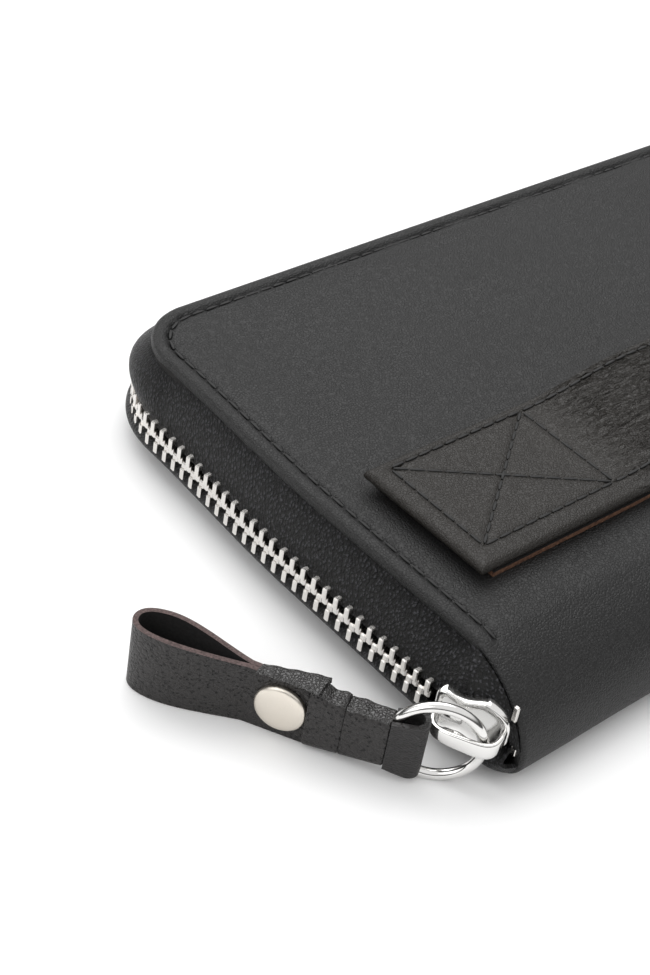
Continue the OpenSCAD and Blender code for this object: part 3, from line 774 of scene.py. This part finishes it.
# %% Stops: a crimped block of nickel on each tape where the slider rests, and at the far end
hook = block([-0.3, -0.42, -1.4], [0.3, 0.42, 1.4], 0.12)
low_hook = block([-0.3, -0.5, -0.8], [0.3, 0.5, 0.8], 0.12)
for name, node, body, shape, near, far_z in (
    ("stop_upper_crimps", "zip_stop_front", "front", hook, [-96.7, -50.25, 13.2], CHAIN_Z + 2.0),
    ("stop_lower_crimps", "zip_stop_back", "back", low_hook, [-96.1, -51.3, 6.2], CHAIN_Z - 2.0),
):
    places = np.array([near, [END_X, RUN_Y0 - 2.5, far_z]])
    made = piece(
        name, *copies(*shape, places, np.tile([1.0, 0, 0], (2, 1)), np.tile([0.0, 0, 1], (2, 1))),
        tooth_metal, sharp=25
    )
    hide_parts(node)
    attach(made, body)

# %% [markdown]
# ## Slider, bail and ring
# The slider is a nickel-plated die casting: two shield-shaped plates with a raised rim round a
# dished face, flanges that guide the teeth, and a bail over the outer plate. The ring hangs in it.

# %% The slider's own frame: nose to +Y, outer plate to -X
joint_at = {j["name"]: np.array(j["pos_m"]) / MM for j in frame["joints"] if "pos_m" in j}
slider_at = joint_at["zip_swivel"]
YAW = np.radians(26)
PLATE_OUT = 2.45
slider_turn = np.array([[np.cos(YAW), -np.sin(YAW), 0], [np.sin(YAW), np.cos(YAW), 0], [0, 0, 1]])


def in_slider(points):
    """From the slider's own frame to the wallet's."""
    return np.asarray(points).reshape(-1, 3) @ slider_turn.T + slider_at


def shield(count=96):
    """y = 5.9 cos^0.6. The half height flares at the nose, has a waist, a shoulder and a narrower tail."""
    t = np.linspace(0, 2 * np.pi, count, endpoint=False)
    y = 5.9 * np.sign(np.cos(t)) * np.abs(np.cos(t)) ** 0.6
    half = 3.55 + 1.1 * np.exp(-(((y + 1.4) / 1.9) ** 2)) + 0.9 * ease(y, 1.5, 5.9)
    half = np.where(y > -1.4, half, 4.65 - 1.1 * (np.clip(-1.4 - y, 0, 5) / 4.5) ** 1.4)
    power = np.where(y > 0, 0.17, 0.6)
    return np.stack([y, half * np.sign(np.sin(t)) * np.abs(np.sin(t)) ** power], -1), np.abs(np.sin(t))


def plate(side):
    """Rings of the shield at (scale, depth): a tray towards the chain, a raised rim round a dish outside."""
    outline, updown = shield()
    flange = -0.95 * ease(updown, 0.45, 0.75)
    rings = []
    for scale, depth, flanged in (
        (0.01, 0.0, 0), (0.8, 0.0, 0), (0.83, 0, 1), (0.86, 0, 1), (0.97, 0, 1), (1.0, 0.1, 1), (1.0, 0.55, 0),
        (0.985, 0.78, 0), (0.95, 0.9, 0), (0.9, 0.92, 0), (0.86, 0.82, 0), (0.82, 0.55, 0), (0.76, 0.42, 0),
        (0.4, 0.38, 0), (0.01, 0.38, 0),
    ):
        x = 1.6 + depth + flanged * flange
        rings.append(np.column_stack([side * x + 0 * updown, outline * scale * (1.0 if side < 0 else 0.86)]))
    return np.array(rings).reshape(-1, 3), tube_faces(len(rings), len(outline))


post = block([-1.7, -4.6, -0.9], [1.7, -2.4, 0.9], 0.25)
window = block([-2.75, 1.2, -0.9], [-1.9, 4.6, 0.9], 0.2)
body_points, body_faces = join(plate(-1), plate(1), post, window)
slider_body = piece("slider_casting", in_slider(body_points), body_faces, slider_metal, sharp=50)
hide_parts("slider_body")


# %% Bail: a rounded band carried along an arch
def rounded_band(wide, thick, count=20, power=0.5):
    """Superellipse section: (thick/2 cos^p, wide/2 sin^p)."""
    a = np.linspace(0, 2 * np.pi, count, endpoint=False)
    shape = lambda v: np.sign(v) * np.abs(v) ** power
    return np.stack([thick / 2 * shape(np.cos(a)), wide / 2 * shape(np.sin(a))], -1)


def sweep_flat(path, section, widths):
    """Carries a section along a level path in XY: its first way along the path's normal, its second up."""
    along = np.gradient(path, axis=0)
    along /= np.linalg.norm(along, axis=1, keepdims=True)
    normal = np.stack([along[:, 1], -along[:, 0]], -1)
    flat = path[:, None] + normal[:, None] * section[None, :, :1]
    up = section[None, :, 1] * widths[:, None]
    return np.concatenate([flat, up[..., None]], -1)


arch = np.linspace(0, np.pi, 48)
arch_power = lambda v: np.sign(v) * np.abs(v) ** 0.5
arch_path = even(
    np.stack([-PLATE_OUT + 0.3 - 4.75 * arch_power(np.sin(arch)), 5.2 * arch_power(np.cos(arch))], -1), 60
)
band_width = 0.8 + 0.25 * ease(np.linspace(0, 1, 60), 0.15, 0.7)
bail_grid = sweep_flat(arch_path, rounded_band(2.7, 0.95), band_width)
slider_bail = piece("slider_bail_band", in_slider(bail_grid), tube_faces(60, 20), slider_metal, sharp=60)
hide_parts("slider_bail")
for made in (slider_body, slider_bail):
    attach(made, "slider")

# %% Ring: a torus that stands on its edge
ring_near, ring_far = joint_at["ring_swing"], joint_at["tab_swing"]
ring_way = (ring_far - ring_near) / np.linalg.norm(ring_far - ring_near)
ring_r, wire_r = np.linalg.norm(ring_far - ring_near) / 2, 0.85
a, b = np.meshgrid(
    np.linspace(0, 2 * np.pi, 96, endpoint=False), np.linspace(0, 2 * np.pi, 20, endpoint=False),
    indexing="ij"
)
ring_side = np.array([-ring_way[1], ring_way[0], 0])
ring_middle = (ring_near + ring_far) / 2
ring_middle[2] = ring_r + wire_r + 0.05
ring_points = (
    ring_middle
    + ((ring_r + wire_r * np.cos(b)) * np.cos(a))[..., None] * ring_way
    + ((ring_r + wire_r * np.cos(b)) * np.sin(a))[..., None] * np.array([0, 0, 1])
    + (wire_r * np.sin(b))[..., None] * ring_side
)
pull_ring = piece("ring_wire", ring_points, grid_faces(96, 20, True, True), slider_metal, sharp=80)
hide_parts("pull_ring")
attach(pull_ring, "ring")

# %% [markdown]
# ## Pull tab
# One strip of pebbled leather is folded round the ring's wire, wrapped into a thick neck, riveted,
# and swells into a finger loop. Its cut edges show raw leather. Each stretch is its own surface.

# %% The tab's own frame: origin under the ring's far wire, X away from the ring, Y to the rivet's cap
TAB_HEAD = np.radians(119)
tab_turn = np.array(
    [[np.cos(TAB_HEAD), -np.sin(TAB_HEAD), 0], [np.sin(TAB_HEAD), np.cos(TAB_HEAD), 0], [0, 0, 1]]
)
tab_at = np.array([ring_far[0], ring_far[1], 0])
TAB_T = 0.85
NECK_END = 12.3
NECK_HALF = 1.95


def in_tab(points):
    """From the tab's own frame to the wallet's."""
    return np.asarray(points).reshape(-1, 3) @ tab_turn.T + tab_at


def strip(path, low, high, steps=14):
    """A level path raised from its low to its high edge."""
    v = np.linspace(0, 1, steps)
    z = low[:, None] + (high - low)[:, None] * v[None, :]
    return np.concatenate([np.broadcast_to(path[:, None], (*z.shape, 2)), z[..., None]], -1)


# %% Fold round the ring's wire
lean = np.radians(14)
bend_at = -3.25 * np.array([np.cos(lean), np.sin(lean)])
bend = np.linspace(np.pi / 2, 3 * np.pi / 2, 30) + lean
bend_r = 1.75
round_part = bend_at + bend_r * np.stack([np.cos(bend), np.sin(bend)], -1)
fold_path = even(np.concatenate([[[-0.15, 1.5]], round_part, [[-0.15, -1.5]]]), 60)
share = np.linspace(-1, 1, 60)
fold_low = 2.0 - 0.95 * np.cos(np.pi / 2 * share)
fold_high = 11.0 + 0.4 * np.cos(np.pi / 2 * share)
fold_points, fold_faces, _, _ = slab(strip(fold_path, fold_low, fold_high), 0.85)
fold = piece("tab_fold_round_ring", in_tab(fold_points), fold_faces, fold_leather)
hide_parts("pull_tab_fold")


# %% Wrapped neck
def neck(x0, x1, count, pocket=0.0):
    """Superellipse section of half width NECK_HALF between the neck's lower and upper edge, drawn in
    by 5% over the last 0.25 mm at each end, where the wrap's slits are. A pocket leaves room for the
    ring's wire at the near end."""
    x = np.concatenate(
        [
            [x0, x0 + 0.03, x0 + 0.1, x0 + 0.25], np.linspace(x0 + 0.5, x1 - 0.5, count),
            [x1 - 0.25, x1 - 0.1, x1 - 0.03, x1]
        ]
    )
    near = np.minimum(x - x0, x1 - x)
    full = 1 - 0.05 * np.exp(-near / 0.08)
    if pocket:
        x = np.concatenate([[x0 + pocket, x0 + 0.01], x])
        full = np.concatenate([[0.74, 0.8], full])
    low = np.interp(x, [-0.1, NECK_END], [2.0, 0.45])
    high = np.interp(x, [-0.1, 8.0, NECK_END], [11.0, 11.0, 11.5]) + 0.15 * np.sin(1.9 * x)
    angle = np.linspace(0, 2 * np.pi, 56, endpoint=False)
    shape = lambda v: np.sign(v) * np.abs(v) ** 0.32
    y = NECK_HALF * shape(np.cos(angle))[None, :] * full[:, None]
    ripple = 0.1 * np.sin(2.3 * x[:, None] + 3 * np.sin(angle)) * (np.sin(angle) > 0.6)
    z = (
        ((low + high) / 2)[:, None] + ((high - low) / 2 * full)[:, None] * shape(np.sin(angle))[None, :]
        + ripple
    )
    return np.stack([np.broadcast_to(x[:, None], y.shape), y, z], -1)


neck_pieces = []
for name, x0, x1 in (("tab_neck_wrap_near", -0.1, 6.7), ("tab_neck_wrap_far", 6.72, NECK_END)):
    grid = neck(x0, x1, 20, pocket=1.4 if x0 < 0 else 0)
    made = piece(name, in_tab(grid), tube_faces(*grid.shape[:2]), tab_leather, sharp=50)
    made.data.materials.append(crackled_leather)
    normal = np.zeros(3 * len(made.data.polygons))
    made.data.polygons.foreach_get("normal", normal)
    made.data.polygons.foreach_set("material_index", (normal[2::3] > 0.5).astype(np.int32))
    neck_pieces.append(made)
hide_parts("pull_tab_neck")

# %% Flap that laps over the neck from the rivet's side
flap_x = np.linspace(10.6, 20.6, 30)[:, None]
flap_v = np.linspace(-1, 1, 14)[None, :]
flap_half = np.interp(flap_x, [10.6, 14, 20.6], [2.0, 1.6, 0.87])
flap_z = np.interp(
    flap_x, [10.6, 14, 20.6], [11.95, 11.75, 10.95]
) - 0.35 * np.abs(flap_v) ** 4 + 0.08 * np.sin(2.1 * flap_x)
flap_grid = np.stack([flap_x + 0.25 * flap_v, flap_half * flap_v, flap_z + 0 * flap_v], -1)
flap_points, flap_faces, _, _ = slab(flap_grid, 0.75)
flap = piece("tab_top_flap", in_tab(flap_points), flap_faces, crackled_leather)

# %% Finger loop
LOOP_X0, LOOP_L, LOOP_HALF = 20.3, 20.6, 3.45
out_x = NECK_END + 0.2 + np.linspace(0, 1, 400) ** 0.8 * (LOOP_X0 + LOOP_L - NECK_END - 0.2)
xi = np.clip((out_x - LOOP_X0) / LOOP_L, 0, 1)
tear = LOOP_HALF * ease(xi, -0.25, 0.78) * np.sqrt(1 - xi**9)
outer_half = np.maximum(tear, np.where(xi < 0.5, TAB_T + 0.02, 0))
upper = np.stack([out_x, outer_half], -1)
outline = even(np.concatenate([upper, (upper * [1, -1])[-2::-1]]), 260)
ahead = np.gradient(outline, axis=0)
ahead /= np.linalg.norm(ahead, axis=1, keepdims=True)
middle_line = outline + TAB_T / 2 * np.stack([ahead[:, 1], -ahead[:, 0]], -1)
loop_high = 11.0 + 1.3 * ease(middle_line[:, 0], LOOP_X0, LOOP_X0 + 0.8 * LOOP_L)
loop_grid = strip(middle_line, np.full(260, 0.15), loop_high)
loop_points, loop_faces, _, loop_skin = slab(loop_grid, TAB_T)
half_skin = loop_skin // 2
finger_loop = piece(
    "tab_finger_loop", in_tab(loop_points), loop_faces, suede, parts=(
        (tab_leather, half_skin), (raw_edge, loop_skin)
    )
)
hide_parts("pull_tab_loop")


# %% Rivet cap
def turned(profile, centre, count=64):
    """A (radius, height) profile turned about the tab's Y way."""
    a = np.linspace(0, 2 * np.pi, count, endpoint=False)
    r, h = np.array(profile).T
    x = centre[0] + r[:, None] * np.cos(a)
    z = centre[2] + r[:, None] * np.sin(a)
    y = centre[1] + h[:, None] + 0 * a
    return np.stack([x, y, z], -1), tube_faces(len(r), count)


cap_profile = [
    (3.9, -0.3), (4.08, 0.0), (4.15, 0.3), (4.08, 0.62), (3.85, 0.85), (3.5, 0.95), (2.4, 1.03), (1.0, 1.06),
    (0.02, 1.06)
]
cap_points, cap_faces = turned(cap_profile, [NECK_END + 4.1, TAB_T + 0.02, 5.75])
rivet_cap = piece("rivet_domed_cap", in_tab(cap_points), cap_faces, rivet_metal, sharp=60)
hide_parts("rivet_cap")
for made, slot in (
    (fold, "tab_leather"), (neck_pieces[0], "tab_leather"), (neck_pieces[1], "tab_leather"),
    (flap, "tab_leather"), (finger_loop, "tab_leather"), (rivet_cap, "rivet"),
):
    if made is not fold:
        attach(made, "tab")
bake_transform(fold)

# %% [markdown]
# ## Hand strap
# Two plies: a top ply with its edge turned under and creased from use, and a base ply cut raw, whose
# tan core shows. Both are sewn flat at the ends with a box and a cross, and rise a little between.

# %% Strap geometry
STRAP_X, STRAP_Y, STRAP_HALF, STRAP_T = 87.5, -18.2, 13.5, 1.7
SEAM_IN = 3.6
BOX_L = 29.4
BOX_Y0, BOX_Y1 = -27.9, -6.6


def strap_rise(x):
    """0 over the sewn ends, an S of 24 mm up to 2.4 mm."""
    return 2.4 * (1 - np.cos(np.pi * np.clip((STRAP_X - 34.9 - np.abs(x)) / 24, 0, 1))) / 2


def seam_lines():
    """Ends (x, y) of every straight seam: a box and its diagonals at each end, and both long sides."""
    rows = []
    for s in (-1, 1):
        x0, x1 = s * (STRAP_X - SEAM_IN), s * (STRAP_X - SEAM_IN - BOX_L)
        rows += [[(x0, BOX_Y0), (x1, BOX_Y0)], [(x0, BOX_Y1), (x1, BOX_Y1)], [(x0, BOX_Y0), (x0, BOX_Y1)]]
        rows += [[(x1, BOX_Y0), (x1, BOX_Y1)], [(x0, BOX_Y0), (x1, BOX_Y1)], [(x0, BOX_Y1), (x1, BOX_Y0)]]
    inner = STRAP_X - SEAM_IN - BOX_L
    rows += [[(-inner, BOX_Y0), (inner, BOX_Y0)], [(-inner, BOX_Y1), (inner, BOX_Y1)]]
    return np.array(rows)


def seam_dip(x, y):
    """0.42 mm * exp(-(d / 0.48)^2) for the distance d to the nearest seam."""
    nearest = np.full(x.shape, 9.0)
    for (ax, ay), (bx, by) in seam_lines():
        t = np.clip(((x - ax) * (bx - ax) + (y - ay) * (by - ay)) / ((bx - ax) ** 2 + (by - ay) ** 2), 0, 1)
        nearest = np.minimum(nearest, np.hypot(x - ax - t * (bx - ax), y - ay - t * (by - ay)))
    return 0.42 * np.exp(-((nearest / 0.48) ** 2)) - 0.12 * np.exp(-((nearest / 2.2) ** 2))


def strap_creases(x, y):
    """Slanting folds where the strap is loose: ridges |sin| of a phase that wanders, fading at the ends."""
    phase = 0.42 * x + 0.55 * y + 1.3 * np.sin(0.21 * y + 0.13 * x) + 0.9 * np.sin(0.37 * x)
    fold = np.abs(np.sin(phase)) ** 1.5 + 0.5 * np.abs(np.sin(1.7 * phase + 0.6 * y)) ** 2
    return 0.14 * (fold - 0.7) * ease(
        STRAP_X - SEAM_IN - BOX_L - np.abs(x), -1, 6
    ) * ease(STRAP_HALF - np.abs(y - STRAP_Y), 0.5, 3)


edge_steps = np.array([0, 0.06, 0.2, 0.42, 0.7, 1.0])
strap_u = np.concatenate(
    [edge_steps, np.linspace(1.5, 2 * STRAP_X - 1.5, 360), 2 * STRAP_X - edge_steps[::-1]]
)
strap_v = np.concatenate(
    [edge_steps, np.linspace(1.4, 2 * STRAP_HALF - 1.4, 54), 2 * STRAP_HALF - edge_steps[::-1]]
)


def strap_ply(name, end_in, side_in, z, full_t, cut, round_r, material, edge, creased):
    """A ply as a closed slab, set in by end_in and side_in. Its thickness falls as a quarter round of
    radius round_r at the border, down to the share cut that a raw edge keeps."""
    shrink = lambda at, full, inset: inset + at * (full - 2 * inset) / full
    x = (shrink(strap_u, 2 * STRAP_X, end_in) - STRAP_X)[:, None] + 0 * strap_v[None, :]
    y = (shrink(strap_v, 2 * STRAP_HALF, side_in) - STRAP_HALF + STRAP_Y)[None, :] + 0 * strap_u[:, None]
    d = np.minimum(STRAP_X - end_in - np.abs(x), STRAP_HALF - side_in - np.abs(y - STRAP_Y))
    near = np.clip(1 - d / round_r, 0, 1)
    thick = full_t * np.sqrt(np.maximum(1 - near**2, cut**2))
    lift = 0.22 * ease(d, 0, 5) * creased
    height = z + strap_rise(x) + creased * (strap_creases(x, y) - seam_dip(x, y)) + lift
    points, faces, _, skin = slab(np.stack([x, y, height], -1), thick)
    made = piece(name, points, faces, material, parts=((edge, skin),), sharp=50)
    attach(made, "front")
    return made


strap_base = strap_ply("strap_base_ply", 3.0, 0.3, TOP_Z + 0.7, 1.1, 0.8, 0.3, suede, raw_tan_edge, 0)
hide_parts("strap_base")
strap_top = strap_ply(
    "strap_top_ply", 0.0, 0.0, TOP_Z + 0.15 + 1.42 * STRAP_T, 2.0, 0.1, 1.0, strap_leather, strap_leather, 1
)
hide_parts("strap_top")

# %% Thread of the strap
middles, directions = [], []
for start, end in seam_lines():
    pad = 0.35 * (end - start) / np.linalg.norm(end - start)
    m, d = seam(np.stack([start + pad, end - pad]), 2.8)
    middles.append(m)
    directions.append(d)
middles, directions = np.concatenate(middles), np.concatenate(directions)
x, y = middles.T
height = TOP_Z + 0.15 + 2 * STRAP_T + strap_rise(x) + strap_creases(x, y) + 0.22 - 0.08
slope = (strap_rise(x + directions[:, 0] / 4) - strap_rise(x - directions[:, 0] / 4)) * 2
strap_threads = piece(
    "strap_threads",
    *copies(
        *spindle(2.3, 0.6, 0.5), np.column_stack([x, y, height]), np.column_stack([directions, slope]),
        np.tile([0.0, 0, 1], (len(x), 1))
    ),
    thread,
)
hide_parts("strap_stitching")
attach(strap_threads, "front")

# %% [markdown]
# ## Gussets
# Thin folded leather joins the divider to each cover at both ends and lets the wallet open like a
# fan. Each is a V of two leaves whose one edge follows the cover and whose other the divider.

# %% Four gussets
for half in ("back", "front"):
    for hand, sign in (("left", -1), ("right", 1)):
        node = f"gusset_{half}_{hand}"
        low, high = box_mm(node)
        out_x, in_x = (low[0], high[0]) if sign < 0 else (high[0], low[0])
        ring = np.array([[out_x, low[2] + 0.15], [in_x, (low[2] + high[2]) / 2], [out_x, high[2] - 0.15]])
        ring = np.concatenate([even(ring[:2], 10), even(ring[1:], 10)[1:]])
        ys = np.linspace(low[1], high[1], 30)
        grid = np.stack(
            [
                np.broadcast_to(ring[:, :1], (19, 30)), np.broadcast_to(ys, (19, 30)),
                np.broadcast_to(ring[:, 1:], (19, 30))
            ], -1
        )
        points, faces, _, _ = slab(grid, 0.25)
        made = piece(f"{node}_leather", points, faces, inner_leather)
        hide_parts(node)
        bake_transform(made)

# %% [markdown]
# ## Finishes on the CAD nodes that stay
# Boards, linings, card slots, the coin pocket and the small hidden metal parts keep their CAD shape. The boards are
# black: painted shade where a sliver of them shows between the leather's rim and the tape.

# %% Give every remaining node its material
node_finish = {
    # the boards' black is painted shade for the gap under the leather's rim
    "board": board_black_as_gap_shade, "lining": lining, "slot": inner_leather,
    "panel": inner_leather, "tape": lining, "teeth": tooth_metal,
    "slider": slider_metal, "coin_pull": slider_metal, "stop": tooth_metal,
    "rivet": rivet_metal,
}
painted = 0
for node, obj in frame["nodes"].items():
    found = [material for word, material in node_finish.items() if word in node]
    obj.data.materials.clear()
    obj.data.materials.append(found[0] if found else cover_leather)
    painted += not obj.hide_render
print(painted, "CAD nodes stay in view")

# %% [markdown]
# ## Floor, light and camera
# A pale sweep under large soft lights. One big softbox above and behind gives the leather its broad
# sheen, a second from the left fills, and bright surroundings keep the shadows faint.

# %% Floor
floor_material, _, floor_shader = new_material("white paper sweep", Roughness=0.9)
floor_shader.inputs["Base Color"].default_value = (0.97, 0.97, 0.97, 1)
bpy.ops.mesh.primitive_plane_add(size=12, location=(0, 0, 0))
floor = bpy.context.object
floor.name = "floor"
floor.data.materials.append(floor_material)


# %% Lights
def softbox(name, place, aim, size, power):
    """An area light at place, turned to aim, both in mm."""
    data = bpy.data.lights.new(name, "AREA")
    data.shape = "RECTANGLE"
    data.size, data.size_y = size
    data.energy = power
    lamp = bpy.data.objects.new(name, data)
    bpy.context.scene.collection.objects.link(lamp)
    place, aim = Vector(place) * MM, Vector(aim) * MM
    lamp.matrix_world = Matrix.Translation(place) @ (aim - place).to_track_quat("-Z", "Y").to_matrix().to_4x4()
    return lamp


softbox("top softbox", (150, 500, 800), (-40, 0, 0), (1.2, 0.9), 6.4)
softbox("left fill", (-900, 100, 500), (-80, -20, 0), (0.8, 0.8), 2.2)
world = bpy.data.worlds.new("studio")
bpy.context.scene.world = world
world.use_nodes = True
sky_tree = world.node_tree
sky = sky_tree.nodes["Background"]
toward = add(sky_tree, "ShaderNodeTexCoord").outputs["Generated"]
height = add(sky_tree, "ShaderNodeSeparateXYZ", None, {"Vector": toward}).outputs["Z"]
glow = add(
    sky_tree, "ShaderNodeMapRange", {"From Min": 0.22, "From Max": 0.5, "To Min": 0.1, "To Max": 1.0},
    {"Value": height}
)
sky_tree.links.new(glow.outputs["Result"], sky.inputs["Color"])
sky.inputs["Strength"].default_value = 0.92
bpy.context.scene.view_settings.view_transform = "Standard"

# %% Camera
CAMERA_AT = Vector((-264.4, -161.9, 205.8)) * MM
HEADING, DOWN, ROLL = np.radians((42.97, 38.49, 10.28))
look = Vector((np.cos(DOWN) * np.cos(HEADING), np.cos(DOWN) * np.sin(HEADING), -np.sin(DOWN)))
level = look.cross(Vector((0, 0, 1))).normalized()
right = Matrix.Rotation(-ROLL, 3, look) @ level
up = right.cross(look)
camera_data = bpy.data.cameras.new("camera")
camera_data.lens = 71.15
camera_data.sensor_width = 36
camera_data.clip_start = 0.01
camera = bpy.data.objects.new("camera", camera_data)
camera.matrix_world = Matrix.Translation(CAMERA_AT) @ Matrix((right, up, -look)).transposed().to_4x4()
bpy.context.scene.collection.objects.link(camera)
bpy.context.scene.camera = camera
print("camera right way", [round(v, 3) for v in right])
